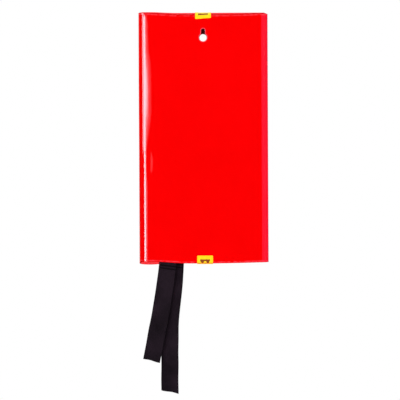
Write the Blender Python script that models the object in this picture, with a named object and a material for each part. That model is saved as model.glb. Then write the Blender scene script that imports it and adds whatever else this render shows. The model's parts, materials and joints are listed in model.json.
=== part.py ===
"""A 1 m x 1 m fire blanket, folded in a slim red sleeve that hangs on a wall screw.

Metres, +Z up, the wall behind at +Y and the public face at -Y. The origin is the
centre of the wall screw's shank: the top of the keyhole's slot, on the back face.
"""

import math

import bmesh
import bpy
from mathutils import Matrix, Vector

MM = 0.001

# Sleeve
CASE_WIDTH = 150 * MM
CASE_DEPTH = 26 * MM
CASE_HEIGHT = 290 * MM
CASE_WALL = 1.5 * MM
CORNER_RADIUS = 11 * MM
BACK_STEP = 1.8 * MM

# Keyhole: a round hole through both walls, and a slot above it in the back wall
HOLE_RADIUS = 4.5 * MM
SLOT_WIDTH = 4.5 * MM
SLOT_RISE = 8 * MM
HOLE_BELOW_TOP = 29 * MM

# Folded blanket: its rounding, and the room round it in the sleeve
PACK_ROUNDING = 5 * MM
PACK_RECESS = 4 * MM
PACK_BELOW_HOLE = 2.5 * MM
PACK_SIDE_ROOM = 6.5 * MM
PACK_FRONT_ROOM = 1.7 * MM

# Pull tapes
TAPE_WIDTH = 20 * MM
TAPE_THICKNESS = 1 * MM
SEWN_LENGTH = 24 * MM
TAPE_IN_FROM_EDGE = 10 * MM
TAPE_STAGGER = 8.7 * MM
LONG_TAPE_PLY_DEPTH = 3.5 * MM
SHORT_HINGE_BELOW_PACK = 2.6 * MM
LONG_HINGE_BELOW_PACK = 1 * MM

# Where each tape hangs below its hinge, as steps of (sideways, back, up) from the hinge
SHORT_TAPE_ROUTE = (
    (0.4 * MM, 0.0, -4.4 * MM),
    (4.1 * MM, -0.3 * MM, -31.4 * MM),
    (8.7 * MM, -0.9 * MM, -59.4 * MM),
    (14.2 * MM, -0.7 * MM, -87.4 * MM),
    (19.4 * MM, -0.1 * MM, -115.4 * MM),
)
LONG_TAPE_ROUTE = (
    (0.3 * MM, 0.0, -5.0 * MM),
    (1.9 * MM, -0.4 * MM, -31.0 * MM),
    (6.0 * MM, -0.9 * MM, -68.0 * MM),
    (6.8 * MM, -0.7 * MM, -98.0 * MM),
    (7.1 * MM, -0.1 * MM, -153.5 * MM),
)
SHORT_TAPE_END_SLANT = 1.2 * MM
LONG_TAPE_END_SLANT = 4 * MM

# Stitching that holds a tape to the blanket: a box with a cross in it
STITCH_WIDTH = 0.8 * MM
STITCH_HEIGHT = 0.3 * MM
STITCH_EDGE = 3 * MM

# Labels
LABEL_THICKNESS = 0.25 * MM
SEAL_WIDTH = 19 * MM
SEAL_FRONT_LEG = 22 * MM
TOP_SEAL_BACK_LEG = 4.6 * MM
TOP_SEAL_X = 0.0
BOTTOM_SEAL_BACK_LEG = 9.3 * MM
BOTTOM_SEAL_X = -1.2 * MM
FRONT_LABEL_RADIUS = 6 * MM
FRONT_LABEL_SIDE_MARGIN = 9 * MM
FRONT_LABEL_BELOW_TOP = 62 * MM
FRONT_LABEL_ABOVE_BOTTOM = 38 * MM

# Clearances; a seal's back leg lies this far below the back face, in its own recess
FIT_GAP = 0.3 * MM
SEAL_BELOW_FLUSH = 0.05 * MM
SLIDE_GAP = 0.4 * MM
CUT_MARGIN = 5 * MM

# How finely curves are faceted
CORNER_STEPS = 10
ROUND_STEPS = 32
BEVEL_STEPS = 3
LABEL_CORNER_STEPS = 5
TAPE_STEPS = 14
CAP_STEPS = 3
CAP_TOP_DEGREES = 80
SMOOTH_DEGREES = 40
SAME_POINT = 0.001 * MM

# Places and sizes that follow from the ones above
SLEEVE_RADIUS = min(CORNER_RADIUS, CASE_DEPTH / 2)
SEAL_RECESS = SEAL_BELOW_FLUSH + LABEL_THICKNESS + FIT_GAP
CASE_TOP = HOLE_BELOW_TOP - SLOT_RISE
CASE_BOTTOM = CASE_TOP - CASE_HEIGHT
BACK_TOP = CASE_TOP - BACK_STEP
HOLE_Z = -SLOT_RISE
STITCH_BACK = -(CASE_WALL + SLIDE_GAP)
SHORT_TAPE_BACK = STITCH_BACK - STITCH_HEIGHT - FIT_GAP
SHORT_TAPE_Y = SHORT_TAPE_BACK - TAPE_THICKNESS / 2
PACK_BACK = SHORT_TAPE_BACK - TAPE_THICKNESS - FIT_GAP
LONG_TAPE_Y = PACK_BACK - LONG_TAPE_PLY_DEPTH
PACK_BOTTOM = CASE_BOTTOM + PACK_RECESS
PACK_TOP = HOLE_Z - HOLE_RADIUS - PACK_BELOW_HOLE
PACK_HEIGHT = PACK_TOP - PACK_BOTTOM
PACK_WIDTH = CASE_WIDTH - 2 * (CASE_WALL + PACK_SIDE_ROOM)
PACK_DEPTH = CASE_DEPTH - CASE_WALL - PACK_FRONT_ROOM + PACK_BACK
SHORT_TAPE_X = PACK_WIDTH / 2 - PACK_ROUNDING - TAPE_IN_FROM_EDGE - TAPE_WIDTH / 2
LONG_TAPE_X = SHORT_TAPE_X - TAPE_STAGGER
SHORT_HINGE_Z = PACK_BOTTOM - SHORT_HINGE_BELOW_PACK
LONG_HINGE_Z = PACK_BOTTOM - LONG_HINGE_BELOW_PACK
SEWN_START = TAPE_THICKNESS / 2 + FIT_GAP
FRONT_LABEL_WIDTH = CASE_WIDTH - 2 * (CORNER_RADIUS + FRONT_LABEL_SIDE_MARGIN)
FRONT_LABEL_HEIGHT = CASE_HEIGHT - FRONT_LABEL_BELOW_TOP - FRONT_LABEL_ABOVE_BOTTOM


def clear_scene():
    for item in list(bpy.data.objects):
        bpy.data.objects.remove(item, do_unlink=True)


def finish(name, colour, roughness, metallic=0.0):
    """A Principled material of one colour."""
    made = bpy.data.materials.new(name)
    made.use_nodes = True
    shader = made.node_tree.nodes["Principled BSDF"]
    shader.inputs["Base Color"].default_value = (*colour, 1.0)
    shader.inputs["Roughness"].default_value = roughness
    shader.inputs["Metallic"].default_value = metallic
    made.diffuse_color = (*colour, 1.0)
    return made


def keep(name, bm, material=None, smooth=False):
    """Writes a bmesh to a new object, its faces pointing out, and returns the object."""
    bmesh.ops.recalc_face_normals(bm, faces=bm.faces)
    mesh = bpy.data.meshes.new(name)
    bm.to_mesh(mesh)
    bm.free()
    made = bpy.data.objects.new(name, mesh)
    bpy.context.scene.collection.objects.link(made)
    if material:
        mesh.materials.append(material)
    if smooth:
        mesh.shade_smooth()
        mesh.set_sharp_from_angle(angle=math.radians(SMOOTH_DEGREES))
    return made


def joint_empty(name, place, parent=None):
    """An empty on a joint's axis, which carries the pieces that move with it."""
    made = bpy.data.objects.new(name, None)
    bpy.context.scene.collection.objects.link(made)
    made.empty_display_size = 10 * MM
    if parent:
        made.parent = parent
        made.location = Vector(place) - parent.matrix_world.translation
    else:
        made.location = place
    bpy.context.view_layer.update()
    return made


def carry(piece, empty):
    """Parents a piece, modelled in place, to the empty of the joint that moves it."""
    piece.parent = empty
    piece.matrix_parent_inverse = empty.matrix_world.inverted()


def cut(target, name, bm):
    """Takes a hidden cutter's shape out of a piece."""
    cutter = keep(name, bm)
    cutter.hide_render = True
    cutter.display_type = "WIRE"
    boolean = target.modifiers.new(name, "BOOLEAN")
    boolean.operation = "DIFFERENCE"
    boolean.solver = "EXACT"
    boolean.object = cutter


def prism(outline, along):
    """A flat outline pulled along a vector into a closed bmesh."""
    bm = bmesh.new()
    face = bm.faces.new([bm.verts.new(point) for point in outline])
    pulled = bmesh.ops.extrude_face_region(bm, geom=[face])["geom"]
    far_end = [item for item in pulled if isinstance(item, bmesh.types.BMVert)]
    bmesh.ops.translate(bm, vec=along, verts=far_end)
    bmesh.ops.remove_doubles(bm, verts=bm.verts, dist=SAME_POINT)
    return bm


def rounded_rectangle(width, height, radius, steps=CORNER_STEPS):
    """The outline of a rounded rectangle about (0, 0), anticlockwise."""
    points = []
    for quarter, (right, up) in enumerate(((1, 1), (-1, 1), (-1, -1), (1, -1))):
        centre = (right * (width / 2 - radius), up * (height / 2 - radius))
        for step in range(steps + 1):
            angle = math.radians(90 * (quarter + step / steps))
            x = centre[0] + radius * math.cos(angle)
            y = centre[1] + radius * math.sin(angle)
            points.append((x, y))
    return points


def sleeve_outline(inset, z):
    """The sleeve's cross-section, inset from its outer face, at a height."""
    flat = rounded_rectangle(
        CASE_WIDTH - 2 * inset, CASE_DEPTH - 2 * inset, SLEEVE_RADIUS - inset
    )
    return [(x, y - CASE_DEPTH / 2, z) for x, y in flat]


def make_case_sleeve():
    """A flat tube, open at both ends, whose back wall stops a little lower at the top."""
    red = finish("sleeve_red_vinyl", (0.85, 0.0, 0.005), 0.25)
    shell = prism(sleeve_outline(0, CASE_BOTTOM), (0, 0, CASE_HEIGHT))
    for vert in shell.verts:
        if vert.co.z > 0:
            vert.co.z -= BACK_STEP * (1 + vert.co.y / CASE_DEPTH)
    sleeve = keep("case_sleeve", shell, red, smooth=True)
    hollow_length = CASE_HEIGHT + 2 * CUT_MARGIN
    hollow = prism(sleeve_outline(CASE_WALL, CASE_BOTTOM - CUT_MARGIN), (0, 0, hollow_length))
    cut(sleeve, "sleeve_hollow_cutter", hollow)
    hole = bmesh.new()
    bmesh.ops.create_cone(
        hole,
        cap_ends=True,
        segments=ROUND_STEPS,
        radius1=HOLE_RADIUS,
        radius2=HOLE_RADIUS,
        depth=CASE_DEPTH + 2 * CUT_MARGIN,
        matrix=Matrix.Translation((0, -CASE_DEPTH / 2, HOLE_Z))
        @ Matrix.Rotation(math.radians(90), 4, "X"),
    )
    cut(sleeve, "hanging_hole_cutter", hole)
    slot_outline = rounded_rectangle(SLOT_WIDTH, SLOT_RISE + SLOT_WIDTH, SLOT_WIDTH / 2)
    slot_face = [(x, CUT_MARGIN, z + HOLE_Z / 2) for x, z in slot_outline]
    cut(sleeve, "hanging_slot_cutter", prism(slot_face, (0, -2 * CUT_MARGIN, 0)))
    recesses = (
        ("top", TOP_SEAL_X, BACK_TOP - TOP_SEAL_BACK_LEG - FIT_GAP, BACK_TOP + CUT_MARGIN),
        (
            "bottom",
            BOTTOM_SEAL_X,
            CASE_BOTTOM - CUT_MARGIN,
            CASE_BOTTOM + BOTTOM_SEAL_BACK_LEG + FIT_GAP,
        ),
    )
    for end, x, low, high in recesses:
        left = x - SEAL_WIDTH / 2 - FIT_GAP
        right = x + SEAL_WIDTH / 2 + FIT_GAP
        corners = ((left, low), (right, low), (right, high), (left, high))
        face = [(across, -SEAL_RECESS, z) for across, z in corners]
        cut(sleeve, f"{end}_seal_recess_cutter", prism(face, (0, CUT_MARGIN, 0)))


def make_folded_blanket(pull):
    """The folded cloth as one plain pack, with a pocket between its plies for the long tape."""
    cloth = finish("blanket_glass_cloth", (0.8, 0.79, 0.74), 0.9)
    pack = bmesh.new()
    bmesh.ops.create_cube(pack, size=1)
    bmesh.ops.scale(pack, vec=(PACK_WIDTH, PACK_DEPTH, PACK_HEIGHT), verts=pack.verts)
    bmesh.ops.bevel(
        pack,
        geom=pack.edges,
        offset=PACK_ROUNDING,
        affect="EDGES",
        segments=BEVEL_STEPS,
        profile=0.5,
        material=-1,
    )
    centre = (0, PACK_BACK - PACK_DEPTH / 2, PACK_BOTTOM + PACK_HEIGHT / 2)
    bmesh.ops.translate(pack, vec=centre, verts=pack.verts)
    blanket = keep("folded_blanket", pack, cloth, smooth=True)
    pocket_back = LONG_TAPE_Y + TAPE_THICKNESS / 2 + STITCH_HEIGHT + 2 * FIT_GAP
    pocket_front = LONG_TAPE_Y - TAPE_THICKNESS / 2 - FIT_GAP
    pocket_side = TAPE_WIDTH / 2 + FIT_GAP
    pocket_top = LONG_HINGE_Z + SEWN_START + SEWN_LENGTH + FIT_GAP
    pocket_bottom = PACK_BOTTOM - CUT_MARGIN
    left, right = LONG_TAPE_X - pocket_side, LONG_TAPE_X + pocket_side
    pocket_face = [
        (x, y, pocket_bottom)
        for x, y in (
            (left, pocket_back),
            (right, pocket_back),
            (right, pocket_front),
            (left, pocket_front),
        )
    ]
    cut(blanket, "tape_pocket_cutter", prism(pocket_face, (0, 0, pocket_top - pocket_bottom)))
    carry(blanket, pull)


def smooth_points(points, steps):
    """Points along a smooth curve through the given ones, evenly shared between them."""
    ends = [2 * points[0] - points[1], *points, 2 * points[-1] - points[-2]]
    found = []
    for step in range(steps + 1):
        place = (len(points) - 1) * step / steps
        first = min(int(place), len(points) - 2)
        t = place - first
        a, b, c, d = ends[first : first + 4]
        bend = (2 * a - 5 * b + 4 * c - d) * t**2 + (3 * b - a - 3 * c + d) * t**3
        found.append(0.5 * (2 * b + (c - a) * t + bend))
    return found


def ribbon(sections):
    """A closed strip through four-cornered sections, given from the top down."""
    bm = bmesh.new()
    rings = [[bm.verts.new(corner) for corner in section] for section in sections]
    bm.faces.new(rings[0])
    bm.faces.new(rings[-1])
    for upper, lower in zip(rings, rings[1:]):
        for side in range(4):
            after = (side + 1) % 4
            bm.faces.new((upper[side], upper[after], lower[after], lower[side]))
    return bm


def tape_section(centre, half_width, half_thickness, slant=0.0):
    """The four corners of a level cut through a tape; slant drops its -X edge."""
    corners = []
    for side, face in ((-1, -1), (1, -1), (1, 1), (-1, 1)):
        step = Vector((side * half_width, face * half_thickness, side * slant / 2))
        corners.append(centre + step)
    return corners


def make_pull_tape(name, hinge, route, end_slant, webbing, joint):
    """The hanging part of a tape: a rounded top on the hinge's axis, then the strip."""
    start = Vector(hinge)
    sections = []
    for step in range(CAP_STEPS, 0, -1):
        angle = math.radians(CAP_TOP_DEGREES * step / CAP_STEPS)
        up = Vector((0, 0, TAPE_THICKNESS / 2 * math.sin(angle)))
        half_thickness = TAPE_THICKNESS / 2 * math.cos(angle)
        sections.append(tape_section(start + up, TAPE_WIDTH / 2, half_thickness))
    line = smooth_points([start] + [start + Vector(step) for step in route], TAPE_STEPS)
    for index, centre in enumerate(line):
        before = line[max(index - 1, 0)]
        after = line[min(index + 1, TAPE_STEPS)]
        run = after - before
        lean = math.hypot(run.x, run.z) / abs(run.z) if index else 1.0
        slant = end_slant if index == TAPE_STEPS else 0.0
        sections.append(
            tape_section(centre, TAPE_WIDTH / 2 * lean, TAPE_THICKNESS / 2, slant)
        )
    tape = keep(name, ribbon(sections), webbing, smooth=True)
    carry(tape, joint)


def make_sewn_end(name, hinge, webbing, pull):
    """The straight end of a tape that is sewn to the blanket."""
    bottom = Vector(hinge) + Vector((0, 0, SEWN_START))
    top = bottom + Vector((0, 0, SEWN_LENGTH))
    sections = [
        tape_section(place, TAPE_WIDTH / 2, TAPE_THICKNESS / 2) for place in (top, bottom)
    ]
    carry(keep(name, ribbon(sections), webbing), pull)


def inset_triangle(corners, inset):
    """A triangle whose sides lie inside the given one's by an even distance."""
    sides = [(corners[i - 2] - corners[i - 1]).length for i in range(3)]
    around = sum(sides)
    centre = sum((side * corner for side, corner in zip(sides, corners)), Vector((0, 0))) / around
    half = around / 2
    area = math.sqrt(half * (half - sides[0]) * (half - sides[1]) * (half - sides[2]))
    share = 1 - inset * half / area
    return [centre + (corner - centre) * share for corner in corners]


def make_stitching(name, hinge, thread, pull):
    """The sewn seams on a tape's back face, as one flat solid: a box with a cross in it."""
    half_width = TAPE_WIDTH / 2 - STITCH_EDGE
    half_height = SEWN_LENGTH / 2 - STITCH_EDGE
    signs = ((-1, -1), (1, -1), (1, 1), (-1, 1))
    middle_z = hinge[2] + SEWN_START + SEWN_LENGTH / 2
    front = hinge[1] + TAPE_THICKNESS / 2 + FIT_GAP

    def placed(flat, y):
        return [(hinge[0] + x, y, middle_z + z) for x, z in flat]

    edge = STITCH_WIDTH / 2
    outline = [(x * (half_width + edge), z * (half_height + edge)) for x, z in signs]
    seams = keep(name, prism(placed(outline, front), (0, STITCH_HEIGHT, 0)), thread)
    corners = [Vector((x * half_width, z * half_height)) for x, z in signs]
    for side in range(4):
        panel = [corners[side], corners[(side + 1) % 4], Vector((0, 0))]
        window = placed(inset_triangle(panel, edge), front - STITCH_HEIGHT)
        cut(seams, f"{name}_window_cutter_{side}", prism(window, (0, 3 * STITCH_HEIGHT, 0)))
    carry(seams, pull)


def wrap_line(offset, back_leg, front_leg, back_rim, front_rim, out):
    """A line down the back recess, over a mouth and down the front; out is 1 at the top."""
    back = offset - SEAL_RECESS
    front = -CASE_DEPTH - offset
    return [
        (back, back_rim - out * back_leg),
        (back, back_rim + out * offset),
        (front, front_rim + out * offset),
        (front, front_rim - out * front_leg),
    ]


def make_seal(name, x, back_leg, back_rim, front_rim, out, paper):
    """A paper seal folded over one mouth of the sleeve."""
    legs = (back_leg, SEAL_FRONT_LEG, back_rim, front_rim, out)
    inner = wrap_line(FIT_GAP, *legs)
    outer = wrap_line(FIT_GAP + LABEL_THICKNESS, *legs)
    profile = [(x - SEAL_WIDTH / 2, y, z) for y, z in inner + outer[::-1]]
    return keep(name, prism(profile, (SEAL_WIDTH, 0, 0)), paper)


def make_front_label():
    """The instruction label on the public face."""
    white = finish("front_label_white", (0.9, 0.9, 0.88), 0.4)
    outline = rounded_rectangle(
        FRONT_LABEL_WIDTH, FRONT_LABEL_HEIGHT, FRONT_LABEL_RADIUS, LABEL_CORNER_STEPS
    )
    y = -CASE_DEPTH - FIT_GAP
    middle_z = CASE_TOP - FRONT_LABEL_BELOW_TOP - FRONT_LABEL_HEIGHT / 2
    face = [(x, y, z + middle_z) for x, z in outline]
    keep("front_instruction_label", prism(face, (0, -LABEL_THICKNESS, 0)), white)


def main():
    clear_scene()
    make_case_sleeve()
    yellow = finish("seal_yellow_paper", (1.0, 0.75, 0.02), 0.45)
    make_seal(
        "top_seal_label", TOP_SEAL_X, TOP_SEAL_BACK_LEG, BACK_TOP, CASE_TOP, 1, yellow
    )
    make_front_label()

    pull = joint_empty("blanket_pull_origin", (0, PACK_BACK - PACK_DEPTH / 2, PACK_BOTTOM))
    make_folded_blanket(pull)
    seal = make_seal(
        "bottom_seal_label",
        BOTTOM_SEAL_X,
        BOTTOM_SEAL_BACK_LEG,
        CASE_BOTTOM,
        CASE_BOTTOM,
        -1,
        yellow,
    )
    carry(seal, pull)

    webbing = finish("tape_black_webbing", (0.02, 0.013, 0.018), 0.8)
    thread = finish("tape_black_thread", (0.03, 0.03, 0.035), 0.6)
    tapes = (
        (
            "short",
            (SHORT_TAPE_X, SHORT_TAPE_Y, SHORT_HINGE_Z),
            SHORT_TAPE_ROUTE,
            SHORT_TAPE_END_SLANT,
        ),
        (
            "long",
            (LONG_TAPE_X, LONG_TAPE_Y, LONG_HINGE_Z),
            LONG_TAPE_ROUTE,
            LONG_TAPE_END_SLANT,
        ),
    )
    for length, hinge, route, end_slant in tapes:
        joint = joint_empty(f"{length}_tape_swing_axis", hinge, pull)
        make_pull_tape(f"{length}_pull_tape", hinge, route, end_slant, webbing, joint)
        make_sewn_end(f"{length}_tape_sewn_end", hinge, webbing, pull)
        make_stitching(f"{length}_tape_stitching", hinge, thread, pull)


main()
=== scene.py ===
# %% [markdown]
# # A wall-hung fire blanket
# The object is a flat glossy sleeve of red vinyl that hangs on a wall by a keyhole. A folded sheet of
# glass cloth waits inside it, and two black pull tapes hang out of its mouth. The measured parts are
# loaded first. They are a fixed frame: every piece made below goes where they say, in metres, with +Z up
# and +Y into the wall.

# %% Load the measured parts
import json
import math
import random

import bmesh
import bpy
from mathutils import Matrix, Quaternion, Vector, noise


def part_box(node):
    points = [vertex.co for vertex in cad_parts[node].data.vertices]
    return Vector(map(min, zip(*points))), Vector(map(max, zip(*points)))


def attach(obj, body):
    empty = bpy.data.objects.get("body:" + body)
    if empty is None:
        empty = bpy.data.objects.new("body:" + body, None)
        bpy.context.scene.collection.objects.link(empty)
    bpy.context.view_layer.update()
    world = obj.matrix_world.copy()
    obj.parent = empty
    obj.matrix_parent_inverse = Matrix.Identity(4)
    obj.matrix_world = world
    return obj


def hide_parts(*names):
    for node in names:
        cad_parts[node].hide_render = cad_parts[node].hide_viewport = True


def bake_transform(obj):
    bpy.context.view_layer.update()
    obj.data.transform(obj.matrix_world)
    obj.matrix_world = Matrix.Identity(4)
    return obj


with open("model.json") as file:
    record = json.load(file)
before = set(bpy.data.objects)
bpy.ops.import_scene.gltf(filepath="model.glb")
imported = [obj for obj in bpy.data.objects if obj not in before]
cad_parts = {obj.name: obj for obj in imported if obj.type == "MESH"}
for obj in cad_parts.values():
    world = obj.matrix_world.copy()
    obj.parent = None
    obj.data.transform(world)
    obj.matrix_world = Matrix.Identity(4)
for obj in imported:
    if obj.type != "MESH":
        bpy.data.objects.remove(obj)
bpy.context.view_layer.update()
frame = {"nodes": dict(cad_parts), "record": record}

MM = 0.001
BACKWARDS = Vector((0, 1, 0))
joint_facts = frame["record"]["behaviour"]["joints"]
hinges = {joint["name"]: Vector(joint["pos_m"]) for joint in joint_facts if "pos_m" in joint}
print("parts:", sorted(frame["nodes"]))
print("hinges:", hinges)


def add_object(name, data):
    made = bpy.data.objects.new(name, data)
    bpy.context.scene.collection.objects.link(made)
    return made

# %% [markdown]
# ## The camera
# The sleeve is looked at from the wall side, almost square on, so its back panel, the keyhole and the
# tapes show. A very long lens from far away keeps the two long sides parallel, as a catalogue picture
# does. A wide lens close by would bend them, and an orthographic camera would show no depth at all.

# %% Set up the camera
LENS = 500.0
SENSOR = 36.0
SEEN_WIDTH = 464 * MM
VIEW_RISE = math.radians(0.8)
VIEW_ROLL = math.radians(-0.27)
view_centre = Vector((4.4 * MM, 0, -196.5 * MM))

camera_data = bpy.data.cameras.new("studio_camera")
camera_data.lens = LENS
camera_data.sensor_width = SENSOR
camera = add_object("studio_camera", camera_data)
towards_camera = Vector((0, math.cos(VIEW_RISE), math.sin(VIEW_RISE)))
camera_distance = SEEN_WIDTH * LENS / SENSOR
camera.location = view_centre + towards_camera * camera_distance
camera.rotation_mode = "QUATERNION"
level = (-towards_camera).to_track_quat("-Z", "Y")
camera.rotation_quaternion = level @ Quaternion((0, 0, 1), VIEW_ROLL)
camera_data.clip_end = 50.0
bpy.context.scene.camera = camera
print("camera distance:", round(camera_distance, 3))

# %% [markdown]
# ## Small helpers for meshes
# Every piece here starts as a flat grid or a simple box, is bent into place and then gets its thickness.
# These helpers round its edges, turn the finished bmesh into an object at the origin, shade its rounded
# parts smoothly and say on which body it moves.


# %% Mesh helpers
def recalculate(bm):
    bmesh.ops.recalc_face_normals(bm, faces=bm.faces[:])


def move(bm, by):
    bmesh.ops.translate(bm, vec=by, verts=bm.verts)


def sharp_edges(bm):
    """The edges that turn by more than 60 degrees, as a cut rim's do."""
    return [edge for edge in bm.edges if edge.calc_face_angle(0) > math.radians(60)]


def soften(bm, geom, offset, segments, affect="EDGES", clamp=False):
    """Rounds these edges, or these corners."""
    bmesh.ops.bevel(
        bm,
        geom=geom,
        offset=offset,
        segments=segments,
        profile=0.5,
        affect=affect,
        material=-1,
        clamp_overlap=clamp,
    )


def keep(name, bm, finish, smooth_degrees=35.0):
    """An object at the origin that owns this mesh, shaded smooth up to an angle."""
    mesh = bpy.data.meshes.new(name)
    bm.to_mesh(mesh)
    bm.free()
    mesh.materials.append(finish)
    mesh.shade_smooth()
    mesh.set_sharp_from_angle(angle=math.radians(smooth_degrees))
    piece = add_object(name, mesh)
    print(name, "has", len(mesh.polygons), "faces")
    return piece


def stand_for(piece, body, node):
    """The piece moves with this body, in place of this measured part."""
    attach(piece, body)
    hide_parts(node)


def fade(value, start, end):
    """0 at start, 1 at end, with a smooth ramp between them."""
    share = max(0.0, min(1.0, (value - start) / (end - start)))
    return share * share * (3 - 2 * share)


def smooth_points(points, steps):
    """Points along a smooth curve through the given ones, evenly shared between them."""
    ends = [2 * points[0] - points[1], *points, 2 * points[-1] - points[-2]]
    found = []
    for step in range(steps + 1):
        place = (len(points) - 1) * step / steps
        first = min(int(place), len(points) - 2)
        t = place - first
        a, b, c, d = ends[first : first + 4]
        bend = (2 * a - 5 * b + 4 * c - d) * t**2 + (3 * b - a - 3 * c + d) * t**3
        found.append(0.5 * (2 * b + (c - a) * t + bend))
    return found


class Line:
    """A route through points, asked for by the length along it."""

    def __init__(self, points):
        self.points = points
        self.lengths = [0.0]
        for before, after in zip(points, points[1:]):
            self.lengths.append(self.lengths[-1] + (after - before).length)
        self.length = self.lengths[-1]

    def at(self, along):
        """The point at a length along the route, and the direction there; it runs on past the end."""
        index = 0
        while index < len(self.points) - 2 and self.lengths[index + 1] < along:
            index += 1
        start, end = self.points[index], self.points[index + 1]
        direction = (end - start).normalized()
        return start + direction * (along - self.lengths[index]), direction


def strip_grid(across, along, slender=1.0):
    """A flat grid whose points carry their share across (x) and along (y), from 0 to 1."""
    bm = bmesh.new()
    bmesh.ops.create_grid(bm, x_segments=across, y_segments=along, size=0.5)
    move(bm, (0.5, 0.5, 0))
    uv = bm.loops.layers.uv.new("Cut")
    for face in bm.faces:
        for loop in face.loops:
            loop[uv].uv = (loop.vert.co.x, loop.vert.co.y * slender)
    return bm, uv


# %% [markdown]
# ## Finishes as sums
# A finish is a small picture made of numbers: a weave is two waves, a scratch is a stretched noise.
# Writing those sums as node calls hides the idea, so one small class lets a socket be added, multiplied
# or compared like a number. Colours go through Mix nodes, because a Math node would turn them grey.


# %% Material helpers
def math_node(operation, turned=False):
    """A method that adds one Math node. Turned puts the other number first."""

    def method(self, other=None):
        first, second = (other, self) if turned else (self, other)
        inputs = {0: first} if other is None else {0: first, 1: second}
        return self.finish.add("ShaderNodeMath", {"operation": operation}, inputs)

    return method


class Value:
    """A number that changes over a surface. Sums on it add Math nodes."""

    def __init__(self, finish, socket):
        self.finish = finish
        self.socket = socket

    __add__ = __radd__ = math_node("ADD")
    __sub__ = math_node("SUBTRACT")
    __rsub__ = math_node("SUBTRACT", turned=True)
    __mul__ = __rmul__ = math_node("MULTIPLY")
    __truediv__ = math_node("DIVIDE")
    __pow__ = math_node("POWER")
    __abs__ = math_node("ABSOLUTE")
    __lt__ = math_node("LESS_THAN")
    __gt__ = math_node("GREATER_THAN")
    at_least = math_node("MAXIMUM")
    at_most = math_node("MINIMUM")
    sine = math_node("SINE")
    within_one = math_node("FRACT")

    def ramp(self, start, end):
        """0 at start and 1 at end, held outside them."""
        inputs = {"Value": self, "From Min": start, "From Max": end}
        return self.finish.add("ShaderNodeMapRange", {"clamp": True}, inputs)


class Finish:
    """A material built node by node round one Principled shader."""

    def __init__(self, name):
        self.material = bpy.data.materials.new(name)
        self.material.use_nodes = True
        self.tree = self.material.node_tree
        self.tree.nodes.clear()

    def add(self, kind, settings=None, inputs=None, out=0):
        """Any node: its settings first, then values or links for its sockets."""
        node = self.tree.nodes.new(kind)
        for name, setting in (settings or {}).items():
            setattr(node, name, setting)
        for name, value in (inputs or {}).items():
            if isinstance(value, Value):
                self.tree.links.new(value.socket, node.inputs[name])
            else:
                node.inputs[name].default_value = value
        return None if out is None else Value(self, node.outputs[out])

    def place(self):
        return self.add("ShaderNodeTexCoord", out="Object")

    def cut(self):
        """The piece's own flat pattern, from 0 to 1 each way."""
        return self.add("ShaderNodeUVMap", {"uv_map": "Cut"})

    def parts(self, vector):
        node = self.add("ShaderNodeSeparateXYZ", None, {"Vector": vector}).socket.node
        return [Value(self, socket) for socket in node.outputs]

    def stretched(self, vector, scale, turn=(0.0, 0.0, 0.0)):
        inputs = {"Vector": vector, "Scale": scale, "Rotation": turn}
        return self.add("ShaderNodeMapping", None, inputs)

    def noise(self, vector, scale, detail=2.0, roughness=0.5):
        inputs = {"Vector": vector, "Scale": scale, "Detail": detail, "Roughness": roughness}
        return self.add("ShaderNodeTexNoise", None, inputs)

    def mix(self, share, first, second):
        inputs = {0: share, 6: first, 7: second}
        return self.add("ShaderNodeMix", {"data_type": "RGBA"}, inputs, out=2)

    def bump(self, height, depth):
        """A surface raised by height, from 0 to 1, times depth in metres."""
        return self.add("ShaderNodeBump", None, {"Height": height, "Distance": depth, "Strength": 1.0})

    def surface(self, **inputs):
        """The finished shader. Words with _ stand for socket names with spaces."""
        named = {name.replace("_", " "): value for name, value in inputs.items()}
        shader = self.add("ShaderNodeBsdfPrincipled", None, named)
        self.add("ShaderNodeOutputMaterial", None, {"Surface": shader}, out=None)
        return self.material


def colour(red, green, blue):
    return (red, green, blue, 1.0)


def reach(across, up):
    """How far a point is that lies this far across and this far up."""
    return (across * across + up * up) ** 0.5


def joined(shapes):
    """1 inside any of these shapes, which are 1 inside and 0 outside."""
    return sum(shapes[1:], shapes[0]).at_most(1.0)


# %% [markdown]
# ## Black webbing
# The tapes are woven polyester about 20 mm wide. The eye sees fine lengthwise ribs, the zigzag of the
# weft between them, tighter selvedges along both edges, and a little fluff. Near the mouth two folds from
# the packing are still pressed in, and the colour along them is darkened as painted shade. Slow lighter
# and darker patches are painted partly as wear and partly as light and shade on the tape's bends. The
# ribs follow the strip, so the finish reads the piece's own flat pattern, not its place in the room.


# %% The webbing finish
TAPE_WIDTH = 20 * MM
RIBS = 15
PICKS_PER_WIDTH = 26
SHADED_FOLDS = (1.50, 1.66)
FOLD_HALF, FOLD_EDGE = 0.012, 0.045
SELVEDGE_FROM, SELVEDGE_TO = 0.455, 0.475


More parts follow.
